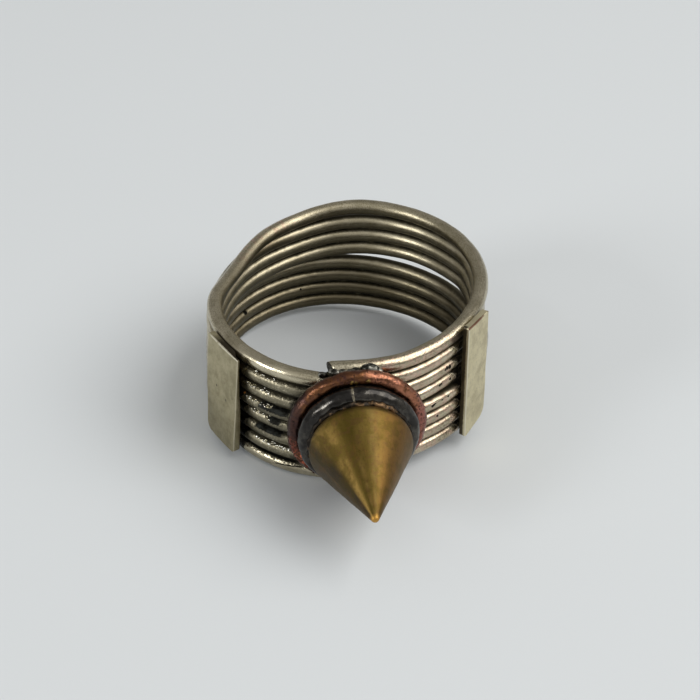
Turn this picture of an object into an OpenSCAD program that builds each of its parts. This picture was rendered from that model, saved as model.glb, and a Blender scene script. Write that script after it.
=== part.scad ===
// Statement ring: a band of round wire wound in two groups of turns and soldered, with a flat
// plate over the turns at each side of the front, and a cone held in two wire rings on the front.
// The ring lies on its side: Z is the axis of the finger hole, the ground is z = 0, and the
// cone points towards -Y.

/* [Wire band] */
// Radius of the wire
wire_r = 0.51; // [0.48:0.01:0.52]
// Distance from one turn to the next, in wire diameters
turn_gap = 1.045; // [1.03:0.005:1.07]
// Turns in the upper group, and again in the lower group
group_turns = 4; // [3:1:5]
// How far the upper group springs up off the lower one
spring = 0.44; // [0.2:0.02:0.6]
// Direction in which the upper group springs up most
spring_dir = 62; // [50:1:75]
// Place of the upper group's start, at the middle of the wire
upper_start = [-1.47, -9.61];
// Place of the lower group's start, at the middle of the wire
lower_start = [-1.46, -9.47];

/* [Plates] */
// Thickness of the sheet
sheet = 0.5; // [0.4:0.05:0.5]
// Middle of the left plate's upper edge, on its outer face
left_at = [-7.62, -7.36, 8.39];
// Direction that the left plate faces
left_dir = 215; // [213:1:216]
// How far the left plate leans out at its foot
left_lean = 1; // [1:0.5:2]
// Middle of the right plate's upper edge, on its outer face
right_at = [8.72, -5.03, 9.84];
// Direction that the right plate faces
right_dir = -31; // [-33:1:-30]
// How far the right plate leans out at its foot
right_lean = 2; // [1.5:0.5:3]

/* [Setting] */
// Middle of the copper ring
setting_at = [1.07, -10.51, 5.05];
// How far the setting turns to the right
setting_turn = 8.6; // [6:0.2:10]
// How far the setting's point drops below level
setting_drop = 1.5; // [0:0.5:3]
// Radius of the copper ring, at the middle of its wire
copper_ring_r = 3.98; // [3.9:0.02:4.1]
// Radius of the copper ring's wire
copper_wire_r = 0.5; // [0.4:0.02:0.5]
// Radius of the dark ring, at the middle of its wire
dark_ring_r = 3.25; // [3.1:0.05:3.25]
// Radius of the dark ring's wire
dark_wire_r = 0.64; // [0.5:0.02:0.64]
// How far the dark ring lies in front of the copper one
dark_ring_out = 0.93; // [0.93:0.01:1]

/* [Cone] */
// Widest radius of the cone
cone_r = 3.29; // [3:0.05:3.4]
// Rounding of the cone's widest edge
cone_edge = 0.55; // [0.3:0.05:0.7]
// Rounding of the cone's point
cone_point = 0.27; // [0.15:0.01:0.4]
// Distance from the copper ring to the cone's widest place
cone_wide_at = 2.11; // [2:0.05:2.3]
// Distance from the copper ring to the cone's point
cone_reach = 8.75; // [8:0.25:10]

/* [Hidden] */
round_fn = 48;
arc_fn = 96;
gap = 0.05;

pitch = 2 * wire_r * turn_gap;
// The start of the wire, at the top of the front
start_dir = -97;
// Rise that keeps the lowest turn on the ground, since each stretch is flat and not a true helix
ground_rise = 0.004;
top_z = 2 * wire_r + 2 * group_turns * pitch + ground_rise;

// Radii of the eight arcs, of 45 degrees each, that a turn is bent to, from its start on
upper_radii = [8.56, 10.88, 9.52, 8.39, 7.28, 12.5, 8.51, 8.2];
lower_radii = [9.22, 10.82, 8.34, 10.16, 8.57, 9.2, 11.28, 7.62];
bend = 45;

// Stretches of the band are thick and thin in turn by a hair, and a thin one runs a short way
// into the thick ones beside it, so that they join cleanly.
thick = wire_r;
thin = wire_r - 0.03;
run_in = 0.9;
// Half thickness of the solder between turns, as a share of the wire's radius
solder_share = 0.38;
// How far solder reaches from the middle of one turn towards the next, in pitches
solder_reach = 0.62;

// Stretches of the band. Angles are directions of the outward normal.
// Columns: upper group or not, arc of the turn, from, to, wire radius, springs up or not
stretches = [
  [true, 0, -97, -52, thin, false],
  [true, 1, -52, -28, thick, false],
  [true, 1, -28, -7, thin, true],
  [true, 2, -7, 38, thick, true],
  [true, 3, 38, 83, thin, true],
  [true, 4, 83, 128, thick, true],
  [true, 5, 128, 152, thin, true],
  [true, 5, 152, 173, thick, false],
  [true, 6, 173, 218, thin, false],
  [true, 7, 218, 263, thick, false],
  [false, 0, -97, -52, thin, false],
  [false, 1, -52, -7, thick, false],
  [false, 2, -7, 38, thin, false],
  [false, 3, 38, 83, thick, false],
  [false, 4, 83, 128, thin, false],
  [false, 5, 128, 173, thick, false],
  [false, 6, 173, 218, thin, false],
  [false, 7, 218, 263, thick, false]
];

function towards(angle) = [cos(angle), sin(angle)];

// Middle of an arc of a turn: each arc runs on smoothly from the one before
function arc_middle(radii, start, i) =
  i == 0 ? start - radii[0] * towards(start_dir)
         : arc_middle(radii, start, i - 1) + (radii[i - 1] - radii[i]) * towards(start_dir + i * bend);

// A turn in section, with the solder that fills the groove under it
module turn_section(r, tube, soldered) {
  half = solder_share * tube;
  translate([r, 0]) circle(r = tube, $fn = round_fn);
  if (soldered) translate([r - half, -solder_reach * pitch]) square([2 * half, solder_reach * pitch]);
}

// One arc of a turn, laid in a plane that falls as the wire winds down and rises where the
// upper group springs up
module arc(row, turn, soldered) {
  radii = row[0] ? upper_radii : lower_radii;
  start = row[0] ? upper_start : lower_start;
  tube = row[4];
  r = radii[row[1]];
  mid = start_dir + (row[1] + 0.5) * bend;
  fall = pitch * bend / 360 / (2 * r * sin(bend / 2));
  rise = row[5] ? spring / r : 0;
  slope_x = fall * sin(mid) + rise * cos(spring_dir);
  slope_y = -fall * cos(mid) + rise * sin(spring_dir);
  z = top_z - wire_r - (turn + (mid - start_dir) / 360) * pitch;
  centre = arc_middle(radii, start, row[1]);
  extra = tube == thin ? run_in : 0;
  translate([centre[0], centre[1], z])
    rotate(a = atan(norm([slope_x, slope_y])), v = [slope_y, -slope_x, 0])
      rotate([0, 0, row[2] - extra])
        rotate_extrude(angle = row[3] - row[2] + 2 * extra, $fn = arc_fn)
          turn_section(r, tube, soldered);
}

// All the turns of a group along one stretch. At the front the two groups are soldered together.
module stretch(row) {
  front = row[1] == 0 || row[1] == 7;
  first = row[0] ? 0 : group_turns;
  for (i = [0 : group_turns - 1])
    arc(row, first + i, soldered = i < group_turns - 1 || (row[0] && front));
}

module wire_coil() {
  color("silver") union() { for (row = stretches) stretch(row); }
}

// Points of the arc that rounds the corner b between a and c with radius r
function corner(a, b, c, r, steps = 6) =
  let (
    p = (a - b) / norm(a - b),
    q = (c - b) / norm(c - b),
    half = acos(p * q) / 2,
    mid = (p + q) / norm(p + q),
    centre = b + mid * (r / sin(half)),
    start = atan2(-mid[1], -mid[0]),
    sweep = 90 - half,
    turn = p[0] * q[1] - p[1] * q[0] > 0 ? -1 : 1
  )
  [for (i = [0 : steps]) let (t = start + turn * sweep * (2 * i / steps - 1)) centre + r * [cos(t), sin(t)]];

// Outline with rounded corners. Columns: along, up, corner radius
function rounded(table) =
  let (n = len(table), at = [for (row = table) [row[0], row[1]]])
  [for (i = [0 : n - 1]) each corner(at[(i + n - 1) % n], at[i], at[(i + 1) % n], table[i][2])];

// A flat plate that faces a direction, with its outer face at the given place
module plate(place, facing, lean, corners) {
  translate(place)
    rotate([0, 0, facing])
      rotate([0, -lean, 0])
        rotate([90, 0, 90])
          translate([0, 0, -sheet])
            linear_extrude(sheet)
              polygon(rounded(corners));
}

// Corners of the left plate seen on its outer face: along towards the front, up, radius
left_corners = [[-2.18, 0, 0.2], [-2.22, -7.76, 0.6], [1.26, -7.76, 0.35], [1.585, 0, 0.12]];
// Corners of the right plate seen on its outer face: along towards the back, up, radius
right_corners = [[-1.31, 0, 0.1], [-1.19, -8.86, 0.2], [1.35, -8.25, 0.6], [1.31, 0, 0.2]];

module left_plate() {
  color("darkkhaki") plate(left_at, left_dir, left_lean, left_corners);
}

module right_plate() {
  color("darkkhaki") plate(right_at, right_dir, right_lean, right_corners);
}

// Places its children on the axis of the setting, which runs out from the copper ring
module on_setting(out) {
  translate(setting_at) rotate([90 + setting_drop, 0, setting_turn]) translate([0, 0, out]) children();
}

module wire_ring(r, wire) {
  rotate_extrude($fn = arc_fn) translate([r, 0]) circle(r = wire, $fn = round_fn);
}

module copper_ring() {
  color("sienna") on_setting(0) wire_ring(copper_ring_r, copper_wire_r);
}

module dark_ring() {
  color("dimgray") on_setting(dark_ring_out) wire_ring(dark_ring_r, dark_wire_r);
}

// The straight side of the cone touches the round edge and the round point
edge_centre = [cone_r - cone_edge, cone_wide_at];
point_centre = [0, cone_reach - cone_point];
rise_between = point_centre[1] - edge_centre[1];
side_angle = acos((cone_point - cone_edge) / norm([edge_centre[0], rise_between]))
             - atan2(rise_between, edge_centre[0]);
cone_base = dark_ring_out + dark_wire_r + gap;
base_angle = asin((cone_base - cone_wide_at) / cone_edge);
cone_steps = 6;
edge_arc = [for (i = [0 : cone_steps])
  let (t = base_angle + (side_angle - base_angle) * i / cone_steps)
  edge_centre + cone_edge * [cos(t), sin(t)]];
point_arc = [for (i = [0 : cone_steps])
  let (t = side_angle + (90 - side_angle) * i / cone_steps)
  point_centre + cone_point * [cos(t), sin(t)]];

module cone() {
  color("darkgoldenrod")
    on_setting(0)
      rotate_extrude($fn = arc_fn)
        polygon(concat([[0, cone_base]], edge_arc, point_arc));
}

wire_coil();
left_plate();
right_plate();
copper_ring();
dark_ring();
cone();
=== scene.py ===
"""Statement ring: a band of soldered round wire, two flat plates over its turns, and a cone held in
two wire rings on the front. Sizes are in metres in the frame's axes: Z is the axis of the finger
hole, the ground is z = 0 and the cone points towards -Y."""

import random
from math import acos, asin, atan2, cos, degrees, exp, hypot, pi, radians, sin, sqrt

import bmesh
import bpy
from bpy.props import FloatProperty, FloatVectorProperty, IntProperty, PointerProperty
from mathutils import Matrix, Vector, noise


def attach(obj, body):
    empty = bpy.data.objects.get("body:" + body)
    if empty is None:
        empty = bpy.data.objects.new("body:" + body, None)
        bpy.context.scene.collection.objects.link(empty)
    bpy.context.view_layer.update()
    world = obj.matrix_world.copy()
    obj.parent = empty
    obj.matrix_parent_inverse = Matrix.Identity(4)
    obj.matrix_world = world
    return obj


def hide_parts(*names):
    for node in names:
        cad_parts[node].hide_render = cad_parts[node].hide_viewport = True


bl_info = {
    "name": "Statement ring",
    "version": (1, 0, 0),
    "blender": (4, 5, 0),
    "location": "3D View > Sidebar > Ring",
    "description": "Builds a wire band ring with a cone on its front, piece by piece",
    "category": "Add Mesh",
}

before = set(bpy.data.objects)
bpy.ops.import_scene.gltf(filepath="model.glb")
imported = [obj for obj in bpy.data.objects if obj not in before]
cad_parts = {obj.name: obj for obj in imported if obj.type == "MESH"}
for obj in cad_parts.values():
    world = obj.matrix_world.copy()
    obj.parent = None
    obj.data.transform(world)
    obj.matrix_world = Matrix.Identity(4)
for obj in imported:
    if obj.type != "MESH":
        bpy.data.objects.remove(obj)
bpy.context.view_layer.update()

MM = 0.001
FULL = 2 * pi
# Bearing of the wire's start, and the angle of each of a turn's eight arcs
START = radians(-97)
BEND = FULL / 8
# Steps along the wire, finer at the front, and along the solder in a groove
FRONT_STEP = radians(0.9)
BACK_STEP = radians(2.0)
GROOVE_STEP = radians(2.5)
# Steps in which the cut end slants, and how much thinner the wire's ends are
SLANT_STEPS = 6
END_THINNER = 0.12
# Half the stretch in which the wire crosses to the lower group, in turns
CROSSING = 0.28 / FULL
# Mean radius of a turn in millimetres, for lengths along the wire
MEAN_RADIUS = 9.3
# Room for dents in a plate's outer face, in millimetres
DENT_ROOM = 0.03
# Steps of each round and of the straight side in the cone's profile
ARC_STEPS = 8
SIDE_STEPS = 24
# How far the lights stand from the ring
LIGHTS_AWAY = 0.6
# Local bends of the wire. Columns: first turn and the turn that ends them, bearing of the
# middle and width in degrees, rise and lean outwards in millimetres
BENDS = [
    (0, 1, 92, 22, 0.185, 0), (0, 1, -97, 9, -0.2, 0), (0, 1, 161, 16, -0.3, -0.45),
    (1, 4, 147, 16, 0, 0.22), (1, 4, 25, 18, 0, 0.08), (1, 4, 27, 9, 0, 0.12),
    (4, 9, 25, 18, 0, -0.08), (4, 9, 27, 9, 0, -0.1), (1, 9, -8, 15, 0, -0.13),
]


def size(name, description, millimetres):
    """A length in metres, given in millimetres."""
    return FloatProperty(
        name=name, description=description, default=millimetres * MM, min=0, unit="LENGTH", precision=5
    )


def number(name, description, value):
    """A number without a unit."""
    return FloatProperty(name=name, description=description, default=value, min=0)


def bearing(name, description, angle):
    """An angle, given in degrees."""
    return FloatProperty(name=name, description=description, default=radians(angle), subtype="ANGLE")


def place(name, description, millimetres):
    """A place in the frame, given in millimetres."""
    return FloatVectorProperty(
        name=name, description=description, default=[n * MM for n in millimetres], subtype="TRANSLATION"
    )


def tint(name, description, colour):
    """A colour in linear light."""
    return FloatVectorProperty(
        name=name, description=description, default=colour, subtype="COLOR", min=0, max=1
    )


def radii(name, millimetres):
    """Radii of the eight arcs that a turn is bent to."""
    return FloatVectorProperty(
        name=name, description="Radii of a turn's eight arcs, from its start on",
        default=[n * MM for n in millimetres], size=8, unit="LENGTH", precision=5,
    )


class BandSizes(bpy.types.PropertyGroup):
    """Sizes of the wire band."""

    wire: size("Wire radius", "Radius of the wire", 0.51)
    pitch: size("Pitch", "Distance from one turn to the next", 1.0659)
    turns: IntProperty(name="Turns", description="Turns of the wire, in two equal groups", default=8)
    spring: size("Spring", "How far the upper turns spring up off the lower ones", 0.5)
    spring_bearing: bearing("Spring bearing", "Where the upper turns spring up most", 33)
    upper_radii: radii("Upper radii", (8.56, 10.88, 9.52, 8.39, 7.28, 12.5, 8.51, 8.2))
    lower_radii: radii("Lower radii", (9.22, 10.82, 8.34, 10.16, 8.57, 9.2, 11.28, 7.62))
    upper_start: place("Upper start", "Place of the upper group's start", (-1.47, -9.61, 0))
    lower_start: place("Lower start", "Place of the lower group's start", (-1.46, -9.47, 0))
    cut_back: bearing("Cut back", "How far the upper end of the wire is cut back", 3.4)
    tail: bearing("Tail", "How far the lower end of the wire runs on behind the cone", 9)
    solder: size("Solder radius", "Radius of the solder that fills a groove", 0.2)


class PlateSizes(bpy.types.PropertyGroup):
    """Sizes of the two plates."""

    sheet: size("Sheet", "Thickness of the sheet", 0.5)
    edge: size("Edge rounding", "Rounding of the sheet's edges", 0.05)
    left_at: place("Left place", "Middle of the left plate's upper edge", (-7.62, -7.36, 8.39))
    left_facing: bearing("Left facing", "Direction that the left plate faces", 215)
    left_lean: bearing("Left lean", "How far the left plate leans out at its foot", 1)
    right_at: place("Right place", "Middle of the right plate's upper edge", (8.72, -5.03, 9.84))
    right_facing: bearing("Right facing", "Direction that the right plate faces", -31)
    right_lean: bearing("Right lean", "How far the right plate leans out at its foot", 2)


class SettingSizes(bpy.types.PropertyGroup):
    """Sizes of the rings and the cone on the front."""

    at: place("Place", "Middle of the copper ring", (1.07, -10.51, 5.05))
    turn: bearing("Turn", "How far the setting turns to the right", 8.6)
    drop: bearing("Drop", "How far the setting's point drops below level", 1.5)
    copper_ring: size("Copper ring radius", "Radius at the middle of the copper wire", 3.98)
    copper_wire: size("Copper wire radius", "Radius of the copper wire", 0.5)
    dark_ring: size("Dark ring radius", "Radius at the middle of the dark wire", 3.25)
    dark_wire: size("Dark wire radius", "Radius of the dark wire", 0.64)
    dark_out: size("Dark ring out", "How far the dark ring lies in front of the copper one", 0.93)
    cone: size("Cone radius", "Widest radius of the cone", 3.29)
    cone_edge: size("Cone edge", "Rounding of the cone's widest edge", 0.55)
    cone_point: size("Cone point", "Rounding of the cone's point", 0.27)
    cone_wide_at: size("Cone widest at", "Distance out to the cone's widest place", 2.11)
    cone_reach: size("Cone reach", "Distance out to the cone's point", 8.75)
    cone_base: size("Cone base", "Distance out to the cone's base", 1.62)
    rim: size("Rim radius", "Radius at the middle of the burnt rim", 3.16)
    rim_wire: size("Rim thickness", "Half thickness of the burnt rim", 0.2)


class Finishes(bpy.types.PropertyGroup):
    """Colours of the metals, in linear light."""

    nickel: tint("Nickel silver", "Clean nickel silver", (0.60, 0.54, 0.40))
    olive: tint("Olive tarnish", "Thin olive-brown tarnish on the wire", (0.27, 0.235, 0.145))
    # The two plates are one metal. The left plate's colour is darkened as painted shade, the right plate's
    # lightened as painted light
    left_plate: tint("Left plate", "The left plate's clean metal", (0.47, 0.415, 0.265))
    right_plate: tint("Right plate", "The right plate's clean metal", (0.70, 0.63, 0.42))
    # Also stands for painted shade in the grooves between the turns
    tarnish: tint("Tarnish", "Brown tarnish in hollows", (0.055, 0.047, 0.027))
    soot: tint("Soot", "Black left by the torch", (0.004, 0.004, 0.0035))
    copper: tint("Copper", "Bright copper", (0.43, 0.18, 0.105))
    copper_orange: tint("Orange copper", "Thinly tarnished copper", (0.19, 0.082, 0.036))
    copper_brown: tint("Brown copper", "Tarnished copper", (0.09, 0.042, 0.033))
    dark: tint("Blackened wire", "Blackened metal", (0.028, 0.026, 0.024))
    # Colours of the cone: golden is the brass's own; the streaks laid over it by the angle about the axis
    # are painted reflections, olive also the brass's own mottle
    golden: tint("Golden brass", "Golden streaks of the cone", (0.27, 0.175, 0.05))
    olive_brass_and_reflection: tint("Olive brass", "Dark olive streaks of the cone", (0.085, 0.06, 0.011))
    brown_reflection: tint("Brown brass", "Brown streaks of the cone", (0.17, 0.088, 0.026))
    grey_reflection: tint("Grey brass", "Dull grey-brown of the cone's flanks", (0.08, 0.062, 0.036))
    solder: tint("Solder", "Grey solder", (0.30, 0.29, 0.25))
    floor: tint("Floor", "The pale floor", (0.662, 0.69, 0.706))


def sizes(group):
    """The scene's settings of one group."""
    return getattr(bpy.context.scene, group)


def direction(angle):
    """Unit vector with a bearing."""
    return Vector((cos(angle), sin(angle), 0))


def ease(value, low, high):
    """Smooth step from 0 at low to 1 at high."""
    t = min(max((value - low) / (high - low), 0), 1)
    return t * t * (3 - 2 * t)


def hump(value, middle, width):
    """Smooth hump, 1 at the middle."""
    return exp(-(((value - middle) / width) ** 2))


def bent_place(wound, arcs, start):
    """Place on a turn of eight arcs that run on smoothly from each other, where it has wound an
    angle from its start."""
    number = int(wound % FULL / BEND)
    middle = start - arcs[0] * direction(START)
    for i in range(number):
        middle += (arcs[i] - arcs[i + 1]) * direction(START + (i + 1) * BEND)
    return middle + arcs[number] * direction(START + wound)


def bearing_of(wound):
    """Bearing in degrees, from -97 to 263, where the wire has wound an angle."""
    return degrees(START + wound % FULL)


def band_place(wound):
    """Middle of the wire where it has wound an angle down from its upper end."""
    band = sizes("ring_band")
    angle = START + wound
    around = bearing_of(wound)
    turns = wound / FULL
    upper = bent_place(wound, band.upper_radii, Vector(band.upper_start))
    lower = bent_place(wound, band.lower_radii, Vector(band.lower_start))
    half_way = band.turns / 2
    at = upper.lerp(lower, ease(turns, half_way - CROSSING, half_way + CROSSING))
    rise = 0
    out = noise.noise(Vector((cos(angle), sin(angle), turns * 1.7)) * 1.3) * 0.035
    if turns < half_way:
        towards = cos(angle - band.spring_bearing)
        rise = band.spring / MM * (towards + sqrt(towards * towards + 0.01)) / 2
    if 1 <= turns < half_way:
        rise += 0.05 * hump(around, 92, 22) * ease(turns, 2.4, 2)
    for first, end, middle, width, upwards, outwards in BENDS:
        if first <= turns < end:
            rise += upwards * hump(around, middle, width)
            out += outwards * hump(around, middle, width)
    at += direction(angle) * out * MM
    top = band.turns * band.pitch + band.wire + 0.004 * MM
    at.z = top - band.pitch * min(turns, band.turns) + rise * MM
    return at


def added(name):
    """Names and gives the object that an operator has just added."""
    bpy.context.object.name = name
    return bpy.context.object


def deselect():
    """Leaves nothing selected, out of edit mode."""
    if bpy.context.object and bpy.context.object.mode != "OBJECT":
        bpy.ops.object.mode_set(mode="OBJECT")
    bpy.ops.object.select_all(action="DESELECT")


def chosen(piece):
    """Makes a piece the only selected one."""
    deselect()
    piece.select_set(True)
    bpy.context.view_layer.objects.active = piece


def tidy_mesh(piece):
    """Merges doubles and turns the faces outwards."""
    chosen(piece)
    bpy.ops.object.mode_set(mode="EDIT")
    bpy.ops.mesh.select_all(action="SELECT")
    bpy.ops.mesh.remove_doubles(threshold=0.0005 * MM)
    bpy.ops.mesh.normals_make_consistent(inside=False)
    bpy.ops.object.mode_set(mode="OBJECT")


def settle(piece, matrix=None):
    """Puts a piece where matrix says and leaves its object at the origin, unturned."""
    chosen(piece)
    if matrix is not None:
        piece.matrix_world = matrix
    bpy.ops.object.transform_apply(location=True, rotation=True, scale=True)


def finish(piece, slot, material, *nodes, smooth=60):
    """Gives the material and hangs the piece on the ring. slot is not used."""
    chosen(piece)
    bpy.ops.object.shade_smooth_by_angle(angle=radians(smooth))
    piece.data.materials.clear()
    piece.data.materials.append(material)
    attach(piece, "root")
    if nodes:
        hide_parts(*nodes)


def write_places(piece, name, values):
    """Writes a vector for each vertex, which the material reads by name."""
    attribute = piece.data.attributes.new(name=name, type="FLOAT_VECTOR", domain="POINT")
    for item, value in zip(attribute.data, values):
        item.vector = value


def roughen(piece, depth, scale, seed=0, keep=lambda at: 1):
    """Moves the surface in and out along its normals by a smooth noise, as deep as depth in
    millimetres. keep gives a share by place."""
    moves = []
    for vertex in piece.data.vertices:
        wave = noise.fractal(vertex.co / MM * scale + Vector((seed, 0, 0)), 1.0, 2.0, 3)
        moves.append(vertex.co + vertex.normal * wave * (depth * MM) * keep(vertex.co))
    for vertex, moved in zip(piece.data.vertices, moves):
        vertex.co = moved


def tube(name, points, radius, sides_by_four, thickness):
    """A round wire along points: a curve with a round section, made a mesh. thickness gives each
    point's share of the radius. Gives the mesh object and, for each vertex, its point's number:
    the caps at the last and first points come first, then a ring of vertices for each point."""
    deselect()
    bpy.ops.curve.primitive_nurbs_path_add(location=(0, 0, 0))
    wire = added(name)
    wire.data.splines.clear()
    spline = wire.data.splines.new("POLY")
    spline.points.add(len(points) - 1)
    for point, at, share in zip(spline.points, points, thickness):
        point.co = (*at, 1)
        point.radius = share
    wire.data.dimensions = "3D"
    wire.data.twist_mode = "Z_UP"
    wire.data.bevel_depth = radius
    wire.data.bevel_resolution = 2 * sides_by_four - 2
    wire.data.use_fill_caps = True
    bpy.ops.object.convert(target="MESH")
    wire.data.uv_layers.remove(wire.data.uv_layers[0])
    rings = [len(points) - 1, 0, *range(len(points))]
    return wire, [ring for ring in rings for _ in range(4 * sides_by_four)]


class Link:
    """An output socket that takes part in sums. A sum adds its Math nodes."""

    def __init__(self, surface, socket):
        self.surface = surface
        self.socket = socket

    def __add__(self, other):
        return self.surface.maths("ADD", self, other)

    def __sub__(self, other):
        return self.surface.maths("SUBTRACT", self, other)

    def __rsub__(self, other):
        return self.surface.maths("SUBTRACT", other, self)

    def __mul__(self, other):
        return self.surface.maths("MULTIPLY", self, other)

    __radd__ = __add__
    __rmul__ = __mul__


class Surface:
    """The nodes of one material."""

    def __init__(self, name, metallic=1.0):
        self.material = bpy.data.materials.new(name)
        self.material.use_nodes = True
        self.nodes = self.material.node_tree.nodes
        self.links = self.material.node_tree.links
        self.shader = next(n for n in self.nodes if n.type == "BSDF_PRINCIPLED")
        self.set({"Metallic": metallic})

    def plug(self, socket, value):
        """Gives a socket a link or a value."""
        if isinstance(value, Link):
            self.links.new(value.socket, socket)
        elif hasattr(socket.default_value, "__len__") and len(value) < len(socket.default_value):
            socket.default_value = (*value, 1)
        else:
            socket.default_value = value

    def set(self, values):
        """Gives the shader's own sockets their links or values."""
        for name, value in values.items():
            self.plug(self.shader.inputs[name], value)

    def node(self, kind, settings, values, output=0):
        """Adds a node: its settings first, then the values or links of its sockets."""
        node = self.nodes.new(kind)
        for name, value in settings.items():
            setattr(node, name, value)
        for name, value in values.items():
            self.plug(node.inputs[name], value)
        return Link(self, node.outputs[output])

    def maths(self, operation, *values):
        return self.node("ShaderNodeMath", {"operation": operation}, dict(enumerate(values)))

    def vector(self, operation, *values, output=0):
        return self.node("ShaderNodeVectorMath", {"operation": operation}, dict(enumerate(values)), output)

    def joined(self, x, y, z):
        return self.node("ShaderNodeCombineXYZ", {}, {0: x, 1: y, 2: z})

    def millimetres(self):
        """Object coordinates in millimetres."""
        at = self.node("ShaderNodeTexCoord", {}, {}, "Object")
        return self.node("ShaderNodeVectorMath", {"operation": "SCALE"}, {0: at, "Scale": 1 / MM})

    def attribute(self, name):
        """A vector attribute and its three parts."""
        whole = self.node("ShaderNodeAttribute", {"attribute_name": name}, {}, "Vector")
        split = self.node("ShaderNodeSeparateXYZ", {}, {0: whole}).socket.node
        return whole, *(Link(self, part) for part in split.outputs)

    def noise(self, at, scale, detail=3.0, roughness=0.55, distortion=0.0):
        values = {"Vector": at, "Scale": scale, "Detail": detail, "Roughness": roughness}
        return self.node("ShaderNodeTexNoise", {}, {**values, "Distortion": distortion}, "Fac")

    def ramp(self, value, low, high):
        """Smooth step from 0 at low to 1 at high, held outside."""
        values = {"Value": value, 1: low, 2: high}
        return self.node("ShaderNodeMapRange", {"interpolation_type": "SMOOTHSTEP"}, values)

    def between(self, value, low, high, soft):
        """1 from low to high, with soft sides."""
        return self.ramp(value, low - soft, low + soft) * self.ramp(value, high + soft, high - soft)

    def most(self, *values):
        """The greatest of some links."""
        greatest = values[0]
        for value in values[1:]:
            greatest = self.maths("MAXIMUM", greatest, value)
        return greatest

    def size_of(self, value):
        return self.maths("ABSOLUTE", value)

    def angle_of(self, x, y):
        """Degrees from x towards y."""
        return self.maths("ARCTAN2", y, x) * degrees(1)

    def radius_of(self, x, y):
        """Distance from the axis."""
        return self.vector("LENGTH", self.joined(x, y, 0), output=1)

    def spots(self, at, places, soft):
        """1 inside small round spots, given as their middle and radius."""
        aways = [(self.vector("DISTANCE", at, middle, output=1), radius) for middle, radius in places]
        return self.most(*(self.ramp(away, radius, radius * soft) for away, radius in aways))

    def layers(self, colour, rows):
        """Lays shades over a colour, one after another. Each row is a share and a shade."""
        for share, shade in rows:
            colour = self.node("ShaderNodeMix", {"data_type": "RGBA"}, {0: share, 6: colour, 7: shade}, 2)
        return colour

    def done(self, colour, roughness, height, depth, strength):
        """The finished material. Its relief has a full height of depth millimetres."""
        relief = {"Strength": strength, "Distance": depth * MM, "Height": height}
        normal = self.node("ShaderNodeBump", {}, relief)
        self.set({"Base Color": colour, "Roughness": roughness, "Normal": normal})
        return self.material


# Spots on the wire. Columns: middle and radius in millimetres
PITS = [
    ((5.95, -7.74, 4.76), 0.13), ((6.05, -7.66, 4.82), 0.12), ((6.16, -7.57, 4.86), 0.1),
    ((6.98, -6.72, 4.85), 0.1), ((6.31, -7.42, 3.72), 0.11), ((6.57, -7.14, 4.86), 0.09),
    ((6.72, -6.68, 7.1), 0.14), ((6.6, -6.82, 7.06), 0.1), ((6.33, -7.14, 6.03), 0.12),
    ((6.45, -7.02, 6.05), 0.1), ((6.87, -6.5, 7.08), 0.17), ((6.97, -6.36, 6.0), 0.12),
    ((-7.18, 5.37, 2.3), 0.2), ((-3.34, 8.58, 2.32), 0.09), ((-3.3, 8.66, 2.16), 0.08),
    ((6.1, -7.6, 5.05), 0.07), ((6.75, -6.95, 3.9), 0.06),
]
BLUSH = [((2.98, -9.57, 9.09), 0.45), ((2.6, -9.7, 9.2), 0.3)]
ORANGE_SPOT = [((-6.27, -7.78, 5.3), 0.11)]
# Spots on the left plate and on the copper ring, in the same columns
PLATE_MARKS = [((-8.19, -6.65, 4.9), 0.14), ((-7.56, -7.57, 4.39), 0.16), ((-7.11, -8.2, 4.98), 0.13)]
BRASS_SPOTS = [((-0.38, 3.85, 0.45), 0.3), ((-0.45, 3.95, 0.4), 0.24), ((0.5, 4.0, 0.42), 0.2)]
# Flakes of soot on the wire at the left front. Columns: turn, first and last bearing, how far up
# the wire's round a flake begins and is full, and how ragged it begins
FLAKES = [
    (3, 237.5, 251, -0.05, 0.12, 0.9), (4, 239, 246, -0.05, 0.12, 0.9),
    (5, 232.5, 246.5, 0.28, 0.4, 0.4),
]


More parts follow.
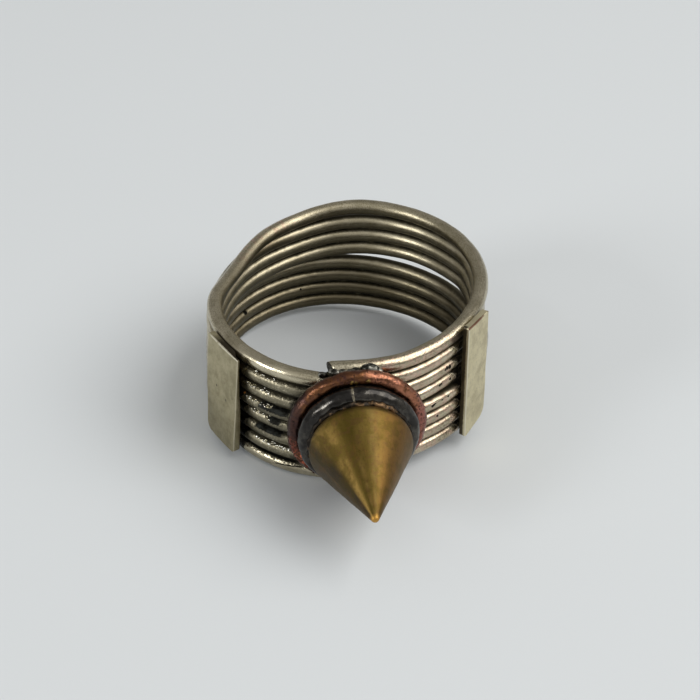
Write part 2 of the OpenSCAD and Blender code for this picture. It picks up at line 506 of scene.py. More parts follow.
def wire_material():
    """Nickel silver wire: satin crowns, tarnish and painted shade in the grooves, painted shade on the inner
    side and behind the plates, soot and painted shade by the plates and the setting, solder by the setting,
    a painted sheen on the soot flakes.
    Bearings are in degrees and turns are counted from 0 at the top. Out and up are places on the
    wire's round, in wire radii."""
    colours = sizes("ring_finishes")
    s = Surface("nickel silver wire")
    at = s.millimetres()
    _, angle, turn, along = s.attribute("wind")
    _, out, up, _ = s.attribute("face")

    def turns(first, last):
        return s.between(turn, first - 0.4, last + 0.4, 0.1)

    patchy = s.noise(at, 0.7, 4, 0.55)
    rough = s.noise(at, 2.2, 5, 0.6)
    fine = s.noise(at, 9, 4, 0.6)
    speck = s.noise(at, 13, 2, 0.5)
    grit = s.noise(at, 22, 3, 0.6)
    drawn = s.noise(s.joined(along * 0.35, out * 3.5, up * 3.5 + turn * 7), 2.0, 4, 0.6)
    sway = rough - 0.5
    jag = fine - 0.5
    ragged = angle + jag * 9 + sway * 8

    front = s.ramp(out, -0.25, 0.15)
    inside = s.ramp(out, 0.3, -0.4)
    left_front = s.between(angle, 222, 262, 3) * front
    right_front = s.between(angle, -78, -36, 5) * front
    first_turn = s.ramp(turn, 0.6, 0.4)
    last_turn = s.ramp(turn, 6.6, 6.8)
    open_side = s.most(first_turn * s.ramp(up, -0.1, 0.1), s.ramp(turn, 7.4, 7.6) * s.ramp(up, 0.1, -0.1))
    wider = left_front * (jag * 0.5 + 0.1)
    # Tarnish in the grooves between the turns, darkened further as painted shade
    groove = s.ramp(s.size_of(up) + sway * 0.3 + wider, 0.68, 0.96) * (1 - open_side)

    flakes = s.most(*(
        turns(number, number) * s.between(ragged, first, last, 1) * s.ramp(up + jag * wild, low, high)
        for number, first, last, low, high, wild in FLAKES
    ))
    low_groove = s.between(ragged, 226, 254, 2) * s.most(
        last_turn * s.ramp(up + jag * 0.3, 0.72, 0.84), turns(6, 6) * s.ramp(up + jag * 0.5, -0.35, -0.55)
    )
    below_first = s.most(s.ramp(turn, 0.5, 0.6), s.ramp(up, -0.1, -0.5))
    hollow = up * up * 2.6 + jag * 4
    later = last_turn * 2 + turns(4, 6) * 1.4
    # Soot and painted shade in the gaps between the turns and the plates
    left_gap_soot_and_shade = s.between(angle - hollow + later, 216, 226.6, 0.5) * below_first
    right_gap_soot_and_shade = s.between(angle + hollow, -35.6, -26, 0.5) * below_first
    # Soot and painted shade on the turns under the setting
    near_setting = s.maths("MINIMUM", s.size_of(angle + 90), s.size_of(angle - 270)) + sway * 12
    soot_and_shade_under_setting = s.ramp(near_setting, 20, 15) * s.ramp(turn, 0.7, 1.3) * (1 - last_turn)
    crack = s.ramp(s.size_of(up - 0.21 - (angle - 244.4) * 0.032 + jag * 0.25), 0.1, 0.05)
    crack = crack * s.between(angle, 243, 257, 1) * last_turn
    cut_end = s.ramp(along, 0.62, 0.57) * 0.9
    # Soot, with painted shade in the gaps by the plates and under the setting
    soot = s.most(flakes, low_groove, left_gap_soot_and_shade, right_gap_soot_and_shade, soot_and_shade_under_setting) * front
    soot = s.most(soot, cut_end, crack, s.spots(at, PITS, 0.7))
    # Painted brown shade over the soot in the gaps by the plates
    brown_gap_shade = s.most(right_gap_soot_and_shade, left_gap_soot_and_shade * s.ramp(turn, 5, 2)) * front * s.ramp(rough, 0.36, 0.56)
    dirt = s.ramp(up + jag * 0.9, 0.55, 0.8) * left_front * s.ramp(turn, 0.6, 1.4)

    back_left = s.between(angle, 128, 158, 6) * s.ramp(turn, 1.5, 0.5) * s.ramp(rough, 0.5, 0.62)
    pink = s.most(right_front * s.ramp(rough, 0.42, 0.6), back_left)
    stain = right_front * s.ramp(s.noise(at, 4.5, 4, 0.6), 0.52, 0.66)
    dull = left_front * turns(1, 6) * s.ramp(rough * 0.5 + fine * 0.5, 0.3, 0.52)
    # Brown: real patina low by the right plate, and painted shade on the inner side, on the top turns at the
    # back left and down the lower turns
    brown = s.most(
        s.between(angle, 132, 168, 7) * s.between(turn, 0.0, 1.6, 0.3) * inside * 0.6,
        inside * s.ramp(turn, 2.0, 7.0) * 0.6,
        s.between(angle, -46, -36, 4) * s.ramp(turn, 5.5, 6.2) * s.ramp(fine, 0.45, 0.6) * 0.7,
    )
    # Painted shade on the inner side: on the lower halves of the turns, and at the back of the middle turns
    shaded_low_side = inside * s.ramp(up + sway * 0.4, 0.5, -0.25)
    shaded = inside * s.between(angle, 5, 125, 25) * s.ramp(turn, 2.5, 5.5)
    calm = 1 - first_turn * s.between(angle, 222, 256, 5) * 0.8
    specks = s.ramp(speck, 0.5, 0.62) * (first_turn * 0.4 + 0.2) * calm
    # Painted shade on the top turn's outer side, low where it runs behind the plates' upper edges
    behind = s.most(s.between(angle, -40, -20, 2), s.between(angle, 207, 228, 2)) * first_turn
    behind = behind * s.ramp(out, 0.62, 0.86) * s.ramp(up, 0.62, 0.4)

    colour = s.layers(colours.nickel, [
        (s.ramp(patchy, 0.35, 0.7) * 0.5, colours.olive),
        (s.ramp(drawn, 0.48, 0.72) * 0.4, (0.24, 0.205, 0.125)),
        (pink * 0.6, (0.60, 0.39, 0.31)),
        (stain * 0.6, (0.30, 0.215, 0.14)),
        (dull * 0.85, (0.155, 0.14, 0.095)),
        # Painted shade on the inner side: olive, brown and darker lower halves
        (inside * 0.35, colours.olive),
        (brown, (0.13, 0.10, 0.055)),
        (shaded_low_side * 0.88, (0.062, 0.052, 0.027)),
        (shaded * 0.5, (0.06, 0.05, 0.027)),
        (s.ramp(fine, 0.56, 0.72) * 0.4, (0.17, 0.14, 0.08)),
        (specks, (0.16, 0.13, 0.075)),
        # Painted shade behind the plates
        (behind * 0.85, (0.03, 0.022, 0.014)),
        (s.spots(at, BLUSH, 0.4) * s.ramp(fine, 0.35, 0.6) * 0.7, (0.55, 0.36, 0.30)),
        # Tarnish with painted shade in the grooves
        (groove * 0.94, colours.tarnish),
        (dirt * 0.75, (0.05, 0.045, 0.03)),
        # Soot, in part painted shade in the gaps and under the setting
        (soot * 0.97, colours.soot),
        # Painted brown shade in the gaps by the plates
        (brown_gap_shade * 0.75, (0.055, 0.043, 0.024)),
        # Painted sheen, grey, on the soot flakes
        (flakes * s.ramp(rough, 0.4, 0.6) * 0.6, (0.045, 0.047, 0.042)),
        (s.spots(at, ORANGE_SPOT, 0.5), (0.75, 0.33, 0.09)),
    ])
    roughness = rough * 0.16 + groove * 0.3 + inside * 0.12 + dull * 0.12 + behind * 0.3 + 0.17
    height = drawn * 0.4 + (fine * 0.5 + speck * 0.2) * calm + (dirt + soot) * grit * 2.5
    return s.done(colour, roughness, height, 0.03, 0.6)


def groove_material():
    """Dull solder and soot in the grooves."""
    s = Surface("groove solder", metallic=0.8)
    at = s.millimetres()
    patchy = s.noise(at, 1.6, 4)
    colour = s.layers((0.02, 0.018, 0.011), [(s.ramp(patchy, 0.45, 0.65), (0.09, 0.078, 0.045))])
    return s.done(colour, patchy * 0.2 + 0.45, s.noise(at, 7, 3), 0.04, 0.6)


def plate_material(name, clean, worn, top_highlight_and_stain, side_highlight, front_soot_and_shade, top_soot_and_shade):
    """Dull nickel silver sheet: mottled, with fine scratches and spots. Of the last four arguments, the
    first is the colour of the line along the top edge: a painted highlight on the left plate, a reddish
    stain on the right. The second says how bright the painted highlight along the side edges is, and the
    last two how dark the front and top edges are towards the turns, with soot and painted shade; the last
    also gives painted shade towards the foot."""
    s = Surface(name)
    at = s.millimetres()
    _, across, up, depth = s.attribute("sheet")
    mottle = s.noise(at, 1.1, 6, 0.62)
    fine = s.noise(at, 11, 4, 0.6)
    scratch = s.noise(s.vector("MULTIPLY", at, (4.0, 4.0, 0.7)), 3.2, 4, 0.65)
    # Painted shade towards the foot, broken up by the scratches
    foot = s.ramp(up, 0.5, 0.12) * (s.ramp(scratch, 0.42, 0.6) * 0.35 + 0.65)
    side = s.ramp((1 - s.size_of(across * 2 - 1)) * 1.8, 0.14, 0.05)
    top = s.ramp((1 - up) * 7.8, 0.12, 0.04)
    outer = s.ramp(depth + (mottle - 0.5) * 0.08, -0.17, -0.09)
    inner = depth + (fine - 0.5) * 0.2
    front_edge = s.ramp(inner, -0.2, -0.28) * s.ramp(across, 0.1, 0.06)
    top_edge = s.ramp(inner, -0.1, -0.16) * top * s.ramp(across + (mottle - 0.5) * 0.4, 0.1, 0.42)
    colour = s.layers(clean, [
        (s.ramp(mottle, 0.38, 0.66), worn),
        (s.ramp(scratch, 0.5, 0.75) * 0.4, (0.24, 0.21, 0.13)),
        (s.ramp(fine, 0.57, 0.7) * 0.5, (0.19, 0.16, 0.09)),
        # Painted shade towards the foot of the left plate
        (foot * top_soot_and_shade * 0.45, (0.17, 0.145, 0.085)),
        (s.spots(at, PLATE_MARKS, 0.3) * 0.8, (0.06, 0.05, 0.03)),
        # Painted highlight along the side edges
        (side * outer * side_highlight, (0.78, 0.73, 0.58)),
        # The line along the top edge: a painted highlight on the left plate, a reddish stain on the right
        (top * outer * s.ramp(mottle, 0.34, 0.5), top_highlight_and_stain),
        # Soot and painted shade on the edges towards the turns
        (s.most(front_edge * front_soot_and_shade, top_edge * top_soot_and_shade), (0.03, 0.022, 0.013)),
    ])
    return s.done(colour, mottle * 0.14 + 0.36, scratch * 0.5 + fine * 0.5, 0.02, 0.5)


def copper_material():
    """Tarnished copper, bright where it is rubbed and, on the top right, also as painted light, with painted
    red glints low on the left, black in its pits, and black on its inner side with soot and painted shade.
    """
    colours = sizes("ring_finishes")
    s = Surface("copper wire")
    whole, x, y, _ = s.attribute("local")
    patchy = s.noise(whole, 1.1, 5, 0.62, 0.5)
    rough = s.noise(whole, 3.6, 5, 0.65)
    fine = s.noise(whole, 11, 4, 0.6)
    angle = s.angle_of(x, y) + (patchy - 0.5) * 50
    # Bright copper on the top right: rubbed copper, and painted light where the key light falls
    bright = s.between(angle, 12, 84, 10) * s.ramp(rough, 0.36, 0.56)
    pinkish = s.between(angle, -58, 22, 8) * s.ramp(rough, 0.36, 0.54)
    # Painted glints: bright red spots low on the left
    painted_red_glints = s.between(angle, -174, -146, 6) * s.ramp(rough, 0.45, 0.55)
    upper_left = s.between(angle, 92, 140, 8) * s.ramp(rough, 0.4, 0.6)
    dark_left = s.ramp(x + (patchy - 0.5) * 1.2, -3.1, -3.7) * s.ramp(y, -1.9, -1.2)
    right_pits = s.between(angle, -50, 35, 8) * s.ramp(fine, 0.55, 0.62) * s.ramp(rough, 0.48, 0.56)
    pits = s.most(s.ramp(rough, 0.55, 0.64) * s.ramp(patchy, 0.62, 0.48), right_pits)
    # The inner side, against the dark ring: soot and painted shade
    inner = s.ramp(s.radius_of(x, y) + (rough - 0.5) * 0.25, 3.84, 3.68)
    black = s.most(pits * 0.85, inner)
    colour = s.layers(colours.copper_brown, [
        (s.ramp(patchy, 0.4, 0.65), colours.copper_orange),
        # Rubbed copper and painted light on the top right
        (bright * 0.85, colours.copper),
        (pinkish * 0.75, (0.40, 0.16, 0.125)),
        # Painted red glints
        (painted_red_glints, (0.9, 0.25, 0.14)),
        (upper_left * 0.7, colours.copper_orange),
        (s.spots(whole, BRASS_SPOTS, 0.5) * s.ramp(rough, 0.4, 0.55), (0.62, 0.42, 0.12)),
        (dark_left * 0.8, (0.055, 0.032, 0.03)),
        # Black pits, and soot with painted shade on the inner side
        (black * 0.94, (0.012, 0.009, 0.008)),
    ])
    roughness = rough * 0.2 + black * 0.14 - painted_red_glints * 0.06 + 0.2
    return s.done(colour, roughness, rough * 0.7 + fine * 0.3, 0.06, 0.7)


def dark_material():
    """Blackened wire with a soft gloss and a grey seam of solder."""
    s = Surface("blackened wire", metallic=0.9)
    whole, x, y, _ = s.attribute("local")
    patchy = s.noise(whole, 1.3, 5, 0.6, 0.3)
    rough = s.noise(whole, 5, 4, 0.6)
    sway = rough - 0.5
    inner = s.ramp(s.radius_of(x, y) + sway * 0.3, 3.2, 2.9)
    seam = s.ramp(s.size_of(s.angle_of(x, y) - 98.5 + sway * 4), 1.5, 0.6) * s.ramp(rough, 0.3, 0.5)
    colour = s.layers(sizes("ring_finishes").dark, [
        (s.ramp(patchy, 0.42, 0.64), (0.08, 0.074, 0.064)),
        (s.ramp(rough, 0.55, 0.7) * 0.6, (0.015, 0.013, 0.012)),
        (inner * 0.7, (0.05, 0.035, 0.022)),
        (seam, (0.34, 0.30, 0.22)),
    ])
    return s.done(colour, rough * 0.16 + 0.13, rough * 0.3 + patchy + seam * 0.5, 0.05, 0.3)


def cone_material():
    """Satin golden-brown brass, mottled, with long streaks that run to the point, laid by the angle about
    the axis as painted reflections, and a painted glint at the point.
    """
    colours = sizes("ring_finishes")
    # olive is the brass's own mottle and also a painted reflection; brown and grey are painted reflections
    olive, brown, grey = colours.olive_brass_and_reflection, colours.brown_reflection, colours.grey_reflection
    s = Surface("streaked brass")
    whole, x, y, z = s.attribute("local")
    # The streaks run by the angle about the cone's axis, as reflections do: painted reflections
    around = s.vector("NORMALIZE", s.joined(x, y, 0))
    streak_at = s.vector("ADD", around, s.joined(0, 0, z * 0.14))
    broad = s.noise(streak_at, 2.0, 3, 0.5)
    thin = s.noise(streak_at, 7, 4, 0.62)
    mottle = s.noise(whole, 1.1, 5, 0.6)
    blotch = s.noise(whole, 2.6, 4, 0.6)
    fine = s.noise(whole, 8, 4, 0.6)
    angle = s.angle_of(x, y) + (broad - 0.5) * 14 + (mottle - 0.5) * 12
    # Angle of the dark band on the left flank, a painted reflection of the shadowed floor
    shadow_reflection_angle = angle - (8.4 - z) * 4
    # Painted reflections, laid as streaks by the angle; the last row is the painted reflection of the
    # shadowed floor. Columns: angle about the cone's axis, where the streak begins and ends, shade, share
    streaks = [
        (angle, -20, 100, olive, 0.5), (angle, -8, 62, brown, 0.6), (angle, -60, -8, grey, 0.7),
        (angle, 24, 40, brown, 0.5), (angle, 44, 78, brown, 0.35), (angle, 74, 86, grey, 0.2),
        (angle, 106, 126, olive, 0.8), (shadow_reflection_angle, 142, 185, (0.042, 0.033, 0.021), 0.9),
    ]
    colour = s.layers(colours.golden, [
        # Painted reflections: broad and thin streaks by the angle about the axis; the mottle, blotches and
        # fine spots are the brass's own
        (s.ramp(broad, 0.4, 0.6) * 0.6, olive),
        *((s.between(side, low, high, 7) * share, shade) for side, low, high, shade, share in streaks),
        # Painted reflection of the floor, grey, low on the left
        (s.ramp(angle, -130, -150) * 0.85, grey),
        (s.ramp(thin, 0.5, 0.7) * 0.5, brown),
        (s.ramp(mottle, 0.46, 0.6) * 0.5, olive),
        (s.ramp(blotch, 0.5, 0.62) * 0.45, (0.12, 0.065, 0.025)),
        (s.ramp(fine, 0.55, 0.7) * 0.3, (0.05, 0.035, 0.015)),
        # Painted glint at the point
        (s.ramp(z, 8.35, 8.7) * 0.75, (0.62, 0.34, 0.08)),
    ])
    return s.done(colour, thin * 0.16 + 0.4, thin * 0.6 + fine * 0.4, 0.04, 0.4)


def rim_material():
    """Brown burnt solder round the foot of the cone."""
    s = Surface("burnt solder", metallic=0.9)
    whole, x, y, _ = s.attribute("local")
    patchy = s.noise(whole, 2.4, 5, 0.65, 0.5)
    browner = s.most(s.between(s.angle_of(x, y), 46, 96, 8), s.ramp(patchy, 0.56, 0.66) * 0.5)
    colour = s.layers((0.02, 0.016, 0.012), [(s.ramp(patchy, 0.42, 0.6) * browner, (0.20, 0.12, 0.06))])
    return s.done(colour, patchy * 0.2 + 0.35, patchy, 0.06, 0.6)


def solder_material():
    """Grey solder lumps, sooty in part."""
    s = Surface("grey solder")
    patchy = s.noise(s.millimetres(), 2.2, 4)
    grey = sizes("ring_finishes").solder
    colour = s.layers((0.03, 0.029, 0.024), [(s.ramp(patchy, 0.44, 0.62), grey)])
    return s.done(colour, patchy * 0.2 + 0.26, patchy, 0.05, 0.5)


def crumb_material():
    """Bright crumbs of solder."""
    s = Surface("bright solder")
    at = s.millimetres()
    patchy = s.noise(at, 4, 3)
    colour = s.layers((0.35, 0.31, 0.2), [(s.ramp(patchy, 0.4, 0.6), (0.92, 0.9, 0.82))])
    return s.done(colour, patchy * 0.16 + 0.1, s.noise(at, 18, 2), 0.02, 0.5)


def floor_material():
    """Smooth pale paper."""
    s = Surface("pale floor", metallic=0.0)
    shade = s.noise(s.millimetres(), 0.01, 2)
    colour = s.layers(sizes("ring_finishes").floor, [(shade * 0.1, (0.6, 0.61, 0.61))])
    s.set({"Base Color": colour, "Roughness": 0.7, "Specular IOR Level": 0.3})
    return s.material


class Step:
    """What the operators share."""

    bl_options = {"REGISTER", "UNDO"}


class RING_OT_wire(Step, bpy.types.Operator):
    """Winds the wire into its eight turns"""

    bl_idname = "ring.wire"
    bl_label = "Wire turns"

    def execute(self, context):
        band = sizes("ring_band")
        steps = []
        wound = band.cut_back
        while wound < band.turns * FULL + band.tail:
            steps.append(wound)
            near_front = cos(START + wound + pi / 2) > 0.45
            wound += FRONT_STEP if near_front else BACK_STEP
        count = len(steps)
        points = [band_place(wound) for wound in steps]
        thickness = [1 - END_THINNER * (hump(n, 0, 1) + hump(n, count - 1, 1)) for n in range(count)]
        wire, rings = tube("wire_turns", points, band.wire, 6, thickness)
        onward = direction(START + steps[0] + pi / 2)
        winds = []
        faces = []
        for vertex, step in zip(wire.data.vertices, rings):
            wound = steps[step]
            away = vertex.co - points[step]
            outward = away.dot(direction(START + wound)) / band.wire
            winds.append((bearing_of(wound), int(wound / FULL), wound * MEAN_RADIUS))
            faces.append((outward, away.z / band.wire, 0))
            if step < SLANT_STEPS:
                vertex.co += onward * (0.2 + 0.3 * outward) * (1 - step / SLANT_STEPS) * MM
        write_places(wire, "wind", winds)
        write_places(wire, "face", faces)
        roughen(wire, 0.016, 0.9)
        tidy_mesh(wire)
        finish(wire, "wire", wire_material(), "wire_coil")
        return {"FINISHED"}


class RING_OT_grooves(Step, bpy.types.Operator):
    """Runs solder along the grooves between the turns"""

    bl_idname = "ring.grooves"
    bl_label = "Groove solder"

    def execute(self, context):
        band = sizes("ring_band")
        points = []
        thickness = []
        wound = band.cut_back
        while wound < (band.turns - 1) * FULL:
            above = band_place(wound)
            below = band_place(wound + FULL)
            apart = ((above - below).length - 2 * band.wire) / MM
            points.append(((above + below) / 2).lerp(above, ease(apart, 0.1, 0.2)))
            thickness.append(min(max(1.25 - apart / 0.16, 0.05), 1))
            wound += GROOVE_STEP
        solder, _ = tube("groove_solder", points, band.solder, 3, thickness)
        roughen(solder, 0.03, 2.0, seed=5)
        tidy_mesh(solder)
        finish(solder, "wire", groove_material())
        return {"FINISHED"}


# Corners of the plates seen on their outer faces. Columns: along, up and rounding in millimetres
LEFT_CORNERS = [(-2.18, 0, 0.2), (-2.22, -7.76, 0.6), (1.26, -7.76, 0.35), (1.585, 0, 0.12)]
RIGHT_CORNERS = [(-1.31, 0, 0.1), (-1.19, -8.86, 0.2), (1.35, -8.25, 0.6), (1.31, 0, 0.2)]


def sheet_plate(name, matrix, corners, bow, seed, thinner):
    """A bowed, worn sheet with rounded corners. Its upper front part may be thinner on the inside."""
    plates = sizes("ring_plates")
    deselect()
    bpy.ops.mesh.primitive_grid_add(x_subdivisions=40, y_subdivisions=96, size=2, location=(0, 0, 0))
    plate = added(name)
    top_back, low_back, low_front, top_front = [Vector((along, up)) * MM for along, up, _ in corners]
    corner_sides = [(-1, 1), (-1, -1), (1, -1), (1, 1)]
    roundings = {side: corner[2] * MM for side, corner in zip(corner_sides, corners)}
    half_width = (top_front - top_back).length / 2
    half_height = (top_back - low_back).length / 2
    edges = []
    for vertex in plate.data.vertices:
        across, up = vertex.co.x * half_width, vertex.co.y * half_height
        side = (1 if across > 0 else -1, 1 if up > 0 else -1)
        radius = roundings[side]
        x = abs(across) - (half_width - radius)
        y = abs(up) - (half_height - radius)
        if x > 0 and y > 0:
            shrink = max(x, y) / hypot(x, y)
            across = side[0] * (half_width - radius + x * shrink)
            up = side[1] * (half_height - radius + y * shrink)
        a = (across / half_width + 1) / 2
        b = (up / half_height + 1) / 2
        flat = low_back.lerp(low_front, a).lerp(top_back.lerp(top_front, a), b)
        dent = noise.fractal(Vector((*flat / MM, seed)) * 0.45, 1.0, 2.0, 3) * 0.035
        inward = bow * (2 * a - 1) ** 2 - dent + DENT_ROOM
        vertex.co = (-inward * MM, flat.x, flat.y)
        edges.append((a, b, 0))
    write_places(plate, "sheet", edges)
    thick = plate.modifiers.new("thickness", "SOLIDIFY")
    thick.thickness = plates.sheet - DENT_ROOM * MM
    thick.offset = -1
    bevel = plate.modifiers.new("edges", "BEVEL")
    bevel.width = plates.edge
    bevel.segments = 3
    bevel.limit_method = "ANGLE"
    bevel.angle_limit = radians(50)
    tidy_mesh(plate)
    if plate.data.polygons[0].normal.x < 0:
        plate.data.flip_normals()
    chosen(plate)
    for modifier in list(plate.modifiers):
        bpy.ops.object.modifier_apply(modifier=modifier.name)
    for vertex, edge in zip(plate.data.vertices, plate.data.attributes["sheet"].data):
        depth, along, up = (n / MM for n in vertex.co)
        edge.vector = (edge.vector[0], edge.vector[1], depth)
        if depth < -0.2:
            vertex.co.x += thinner * ease(along, 0.5, 1.2) * ease(up, -6.5, -0.5) * MM
    settle(plate, matrix)
    return plate


def plate_matrix(at, facing, lean):
    """Where a plate's own axes lie: its +X faces outwards, from the middle of its upper edge."""
    return Matrix.Translation(at) @ Matrix.Rotation(facing, 4, "Z") @ Matrix.Rotation(-lean, 4, "Y")


class RING_OT_plates(Step, bpy.types.Operator):
    """Makes the two flat plates over the turns"""

    bl_idname = "ring.plates"
    bl_label = "Plates"

    def execute(self, context):
        plates = sizes("ring_plates")
        colours = sizes("ring_finishes")
        matrix = plate_matrix(plates.left_at, plates.left_facing, plates.left_lean)
        left = sheet_plate("left_sheet", matrix, LEFT_CORNERS, bow=0.06, seed=1, thinner=0.3)
        # The left plate's colours are darkened as painted shade
        metal = plate_material(
            "left sheet metal", colours.left_plate, worn=(0.33, 0.29, 0.175), top_highlight_and_stain=(0.85, 0.80, 0.64),
            side_highlight=0.35, front_soot_and_shade=0.0, top_soot_and_shade=0.95,
        )
        finish(left, "plate", metal, "left_plate", smooth=45)
        matrix = plate_matrix(plates.right_at, plates.right_facing, plates.right_lean)
        right = sheet_plate("right_sheet", matrix, RIGHT_CORNERS, bow=0.03, seed=2, thinner=0)
        # The right plate's colours are lightened as painted light
        metal = plate_material(
            "right sheet metal", colours.right_plate, worn=(0.54, 0.475, 0.31), top_highlight_and_stain=(0.19, 0.095, 0.06),
            side_highlight=0.85, front_soot_and_shade=0.9, top_soot_and_shade=0.0,
        )
        finish(right, "plate", metal, "right_plate", smooth=45)
        return {"FINISHED"}


def put_on_setting(piece, slot, material, *nodes):
    """Keeps the places of a piece's vertices in the setting's own axes, in millimetres, for its
    material, and puts it on the setting, finished. The setting's +Z runs out along the cone."""
    setting = sizes("ring_setting")
    write_places(piece, "local", [vertex.co / MM for vertex in piece.data.vertices])
    settle(
        piece,
        Matrix.Translation(setting.at)
        @ Matrix.Rotation(setting.turn, 4, "Z")
        @ Matrix.Rotation(pi / 2 + setting.drop, 4, "X"),
    )
    finish(piece, slot, material, *nodes)


def wire_ring(name, radius, wire, out):
    """A closed ring of round wire about the setting's axis."""
    deselect()
    bpy.ops.mesh.primitive_torus_add(
        major_segments=180, minor_segments=28, major_radius=radius, minor_radius=wire, location=(0, 0, out)
    )
    ring = added(name)
    settle(ring)
    return ring


class RING_OT_copper_ring(Step, bpy.types.Operator):
    """Makes the copper wire ring against the turns"""

    bl_idname = "ring.copper_ring"
    bl_label = "Copper ring"

    def execute(self, context):
        setting = sizes("ring_setting")
        ring = wire_ring("copper_wire_ring", setting.copper_ring, setting.copper_wire - 0.01 * MM, 0)
        roughen(ring, 0.06, 0.8, seed=3)
        roughen(ring, 0.045, 2.6, seed=4)
        roughen(ring, 0.1, 4.5, seed=5, keep=lambda at: ease((-at.x - at.y) / MM, 4.2, 5.0))
        put_on_setting(ring, "copper", copper_material(), "copper_ring")
        return {"FINISHED"}


class RING_OT_dark_ring(Step, bpy.types.Operator):
    """Makes the blackened wire ring that holds the cone"""

    bl_idname = "ring.dark_ring"
    bl_label = "Dark ring"

    def execute(self, context):
        setting = sizes("ring_setting")
        ring = wire_ring("dark_wire_ring", setting.dark_ring, setting.dark_wire, setting.dark_out)
        roughen(ring, 0.05, 0.9, seed=7)
        roughen(ring, 0.02, 2.4, seed=8)
        put_on_setting(ring, "blackened", dark_material(), "dark_ring")
        return {"FINISHED"}


def arc(middle, radius, start, end):
    """Points of an arc in the cone's profile, whose x runs out from its axis and y along it."""
    angles = [start + (end - start) * n / ARC_STEPS for n in range(ARC_STEPS + 1)]
    return [middle + radius * direction(angle).xy for angle in angles]


class RING_OT_cone(Step, bpy.types.Operator):
    """Makes the pointed cone"""

    bl_idname = "ring.cone"
    bl_label = "Cone"

    def execute(self, context):
        setting = sizes("ring_setting")
        edge_at = Vector((setting.cone - setting.cone_edge, setting.cone_wide_at))
        point_at = Vector((0, setting.cone_reach - setting.cone_point))
        rise = point_at - edge_at
        lean = acos((setting.cone_point - setting.cone_edge) / rise.length)
        side_angle = atan2(rise.y, rise.x) - lean
        base_angle = asin((setting.cone_base - setting.cone_wide_at) / setting.cone_edge)
        edge = arc(edge_at, setting.cone_edge, base_angle, side_angle)
        point = arc(point_at, setting.cone_point, side_angle, pi / 2)
        side = [edge[-1].lerp(point[0], n / SIDE_STEPS) for n in range(1, SIDE_STEPS)]
        profile = edge + side + point[:-1]
        base = profile[0]
        deselect()
        bpy.ops.mesh.primitive_circle_add(
            vertices=144, radius=base.x, fill_type="TRIFAN", location=(0, 0, base.y)
        )
        cone = added("brass_cone")
        settle(cone)
        bpy.ops.object.mode_set(mode="EDIT")
        bpy.ops.mesh.select_all(action="DESELECT")
        mesh = bmesh.from_edit_mesh(cone.data)
        for edge in mesh.edges:
            if all(end.co.xy.length > base.x / 2 for end in edge.verts):
                edge.select_set(True)
        bmesh.update_edit_mesh(cone.data)
        for before, after in zip(profile, profile[1:]):
            bpy.ops.mesh.extrude_edges_move(TRANSFORM_OT_translate={"value": (0, 0, after.y - before.y)})
            ratio = after.x / before.x
            bpy.ops.transform.resize(value=(ratio, ratio, 1), center_override=(0, 0, after.y))
        last_rise = setting.cone_reach - profile[-1].y
        bpy.ops.mesh.extrude_edges_move(TRANSFORM_OT_translate={"value": (0, 0, last_rise)})
        bpy.ops.mesh.merge(type="CENTER")
        tidy_mesh(cone)
        roughen(cone, 0.03, 0.35, seed=11, keep=lambda at: ease(at.z / MM, 8.6, 7.5))
        put_on_setting(cone, "golden", cone_material(), "cone")
        return {"FINISHED"}


class RING_OT_rim(Step, bpy.types.Operator):
    """Lays burnt solder round the foot of the cone"""

    bl_idname = "ring.rim"
    bl_label = "Burnt rim"

    def execute(self, context):
        setting = sizes("ring_setting")
        rim = wire_ring("burnt_rim", setting.rim, setting.rim_wire, setting.cone_base)
        roughen(rim, 0.14, 1.8, seed=21)
        put_on_setting(rim, "blackened", rim_material())
        return {"FINISHED"}


def joined_piece(name, parts):
    """Makes several parts one piece."""
    deselect()
    for part in parts:
        part.select_set(True)
    bpy.context.view_layer.objects.active = parts[0]
    bpy.ops.object.join()
    piece = added(name)
    settle(piece)
    return piece


class RING_OT_solder(Step, bpy.types.Operator):
    """Drops the lumps of solder between the top turn and the copper ring"""

    bl_idname = "ring.solder"
    bl_label = "Solder lumps"

    # Columns: middle and half sizes in millimetres
    lumps = [
        ((-1.2, -9.96, 8.62), (0.3, 0.2, 0.2)),
        ((-0.45, -10.12, 9.02), (0.42, 0.3, 0.2)),
        ((0.1, -10.15, 9.06), (0.36, 0.3, 0.18)),
        ((0.75, -10.12, 9.13), (0.5, 0.3, 0.18)),
        ((1.72, -9.98, 9.3), (0.58, 0.36, 0.34)),
        ((2.2, -9.87, 9.1), (0.34, 0.3, 0.22)),
    ]

    def execute(self, context):
        deselect()
        made = []
        for number, (at, half_sizes) in enumerate(self.lumps):
            bpy.ops.mesh.primitive_ico_sphere_add(subdivisions=5, radius=1, location=(0, 0, 0))
            lump = bpy.context.object
            lump.scale = [n * MM for n in half_sizes]
            lump.location = [n * MM for n in at]
            settle(lump)
            roughen(lump, 0.07, 1.5, seed=30 + number)
            made.append(lump)
        solder = joined_piece("solder_lumps", made)
        finish(solder, "blackened", solder_material())
        return {"FINISHED"}


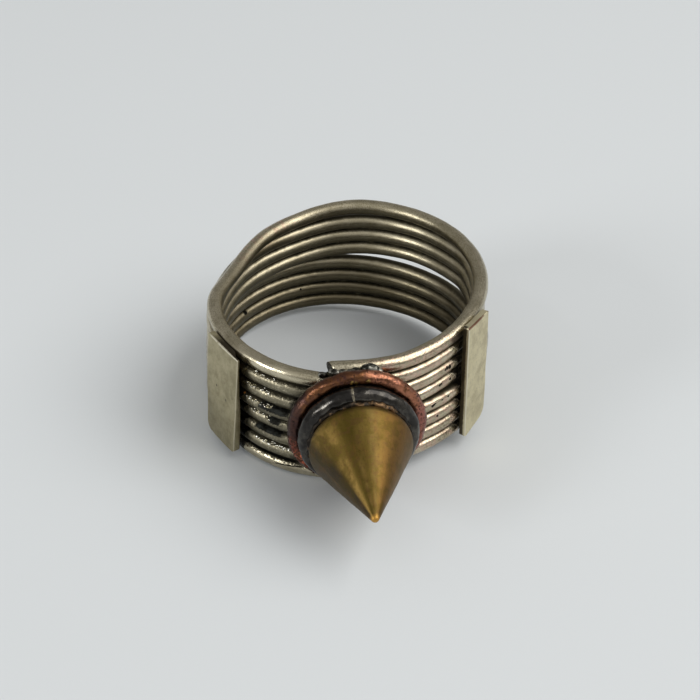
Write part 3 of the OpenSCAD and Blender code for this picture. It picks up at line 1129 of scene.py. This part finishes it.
class RING_OT_crumbs(Step, bpy.types.Operator):
    """Scatters crumbs of solder over the turns by the left plate"""

    bl_idname = "ring.crumbs"
    bl_label = "Solder crumbs"

    # Columns: turn, first and last bearing, number of crumbs
    strips = [(2, 229, 242, 26), (3, 229, 243, 22), (4, 229, 240, 18), (6, 231, 252, 34), (1, 232, 246, 8)]

    def execute(self, context):
        band = sizes("ring_band")
        chance = random.Random(5)
        deselect()
        made = []
        for turn, first, last, number in self.strips:
            for _ in range(number):
                angle = radians(chance.uniform(first, last))
                middle = band_place(turn * FULL + angle - START)
                lift = radians(chance.gauss(44, 9))
                outward = direction(angle) * cos(lift) + Vector((0, 0, sin(lift)))
                half = chance.uniform(0.04, 0.085) * MM
                long = half * chance.uniform(0.8, 2.0)
                bpy.ops.mesh.primitive_ico_sphere_add(subdivisions=2, radius=1, location=(0, 0, 0))
                crumb = bpy.context.object
                crumb.matrix_world = (
                    Matrix.Translation(middle + outward * band.wire)
                    @ Matrix.Rotation(angle + pi / 2, 4, "Z")
                    @ Matrix.Diagonal((long, half, half * 0.8, 1))
                )
                made.append(crumb)
        crumbs = joined_piece("solder_crumbs", made)
        roughen(crumbs, 0.03, 6, seed=50)
        finish(crumbs, "wire", crumb_material(), smooth=50)
        return {"FINISHED"}


class StageSettings(bpy.types.PropertyGroup):
    """The floor, the lights and the camera."""

    floor: size("Floor", "Half width of the floor", 900)
    lens: number("Lens", "Focal length on a 36 mm frame", 90.68)
    camera: place("Camera", "Where the camera stands", (0.433, -97.77, 75.18))
    elevation: bearing("Elevation", "Angle of the camera above the floor", 36.319)
    roll: bearing("Roll", "Turn of the camera about its own axis", 2.351)
    key: number("Key light", "Power of the key light", 2.9)
    fill: number("Fill light", "Power of the fill light", 0.35)
    window: number("Window", "Power of the small light at the left", 1.15)
    sky: number("Sky", "Brightness of the surroundings", 0.34)


def soft_light(name, towards, width, power, colour):
    """A square soft light that looks at the ring from a direction."""
    at = Vector(towards).normalized() * LIGHTS_AWAY
    deselect()
    bpy.ops.object.light_add(type="AREA", location=at)
    light = added(name)
    light.data.size = width
    light.data.energy = power
    light.data.color = colour
    light.rotation_euler = at.to_track_quat("Z", "Y").to_euler()


class RING_OT_stage(Step, bpy.types.Operator):
    """Sets the floor, the lights and the camera"""

    bl_idname = "ring.stage"
    bl_label = "Stage"

    def execute(self, context):
        stage = sizes("ring_stage")
        deselect()
        bpy.ops.mesh.primitive_grid_add(
            x_subdivisions=8, y_subdivisions=8, size=2 * stage.floor, location=(0, 0, 0)
        )
        floor = added("floor")
        floor.data.materials.append(floor_material())
        soft_light("key", (0.64, -0.08, 0.76), 0.5, stage.key, (1.0, 0.99, 0.97))
        soft_light("fill", (-0.15, -0.55, 0.82), 0.6, stage.fill, (0.98, 0.99, 1.0))
        soft_light("window", (-0.78, -0.51, 0.37), 0.17, stage.window, (0.98, 0.99, 1.0))
        world = bpy.data.worlds.new("studio")
        world.use_nodes = True
        background = world.node_tree.nodes["Background"]
        background.inputs["Color"].default_value = (1.0, 0.995, 0.975, 1)
        background.inputs["Strength"].default_value = stage.sky
        context.scene.world = world
        bpy.ops.object.camera_add(location=stage.camera)
        camera = context.object
        camera.matrix_world = (
            Matrix.Translation(stage.camera)
            @ Matrix.Rotation(pi / 2 - stage.elevation, 4, "X")
            @ Matrix.Rotation(stage.roll, 4, "Z")
        )
        camera.data.lens = stage.lens
        camera.data.sensor_width = 36
        camera.data.sensor_fit = "HORIZONTAL"
        camera.data.clip_start = 0.002
        camera.data.clip_end = 10
        context.scene.camera = camera
        context.scene.view_settings.view_transform = "Standard"
        return {"FINISHED"}


class RING_PT_panel(bpy.types.Panel):
    """Sizes, colours and pieces of the ring"""

    bl_idname = "RING_PT_panel"
    bl_label = "Statement ring"
    bl_space_type = "VIEW_3D"
    bl_region_type = "UI"
    bl_category = "Ring"

    def draw(self, context):
        layout = self.layout
        for piece in PIECES:
            layout.operator(piece.bl_idname)
        for name in GROUPS:
            group = sizes(name)
            box = layout.box()
            box.label(text=group.bl_rna.description)
            for key in group.__annotations__:
                box.prop(group, key)


GROUPS = {
    "ring_band": BandSizes,
    "ring_plates": PlateSizes,
    "ring_setting": SettingSizes,
    "ring_finishes": Finishes,
    "ring_stage": StageSettings,
}
PIECES = [
    RING_OT_wire, RING_OT_grooves, RING_OT_plates, RING_OT_copper_ring, RING_OT_dark_ring,
    RING_OT_cone, RING_OT_rim, RING_OT_solder, RING_OT_crumbs, RING_OT_stage,
]
CLASSES = [*GROUPS.values(), *PIECES, RING_PT_panel]


def register():
    for item in CLASSES:
        bpy.utils.register_class(item)
    for name, group in GROUPS.items():
        setattr(bpy.types.Scene, name, PointerProperty(type=group))


def unregister():
    for name in GROUPS:
        delattr(bpy.types.Scene, name)
    for item in reversed(CLASSES):
        bpy.utils.unregister_class(item)


def main():
    """Builds the ring and its stage."""
    register()
    bpy.ops.ring.wire()
    bpy.ops.ring.grooves()
    bpy.ops.ring.plates()
    bpy.ops.ring.copper_ring()
    bpy.ops.ring.dark_ring()
    bpy.ops.ring.cone()
    bpy.ops.ring.rim()
    bpy.ops.ring.solder()
    bpy.ops.ring.crumbs()
    bpy.ops.ring.stage()


if __name__ == "__main__":
    main()
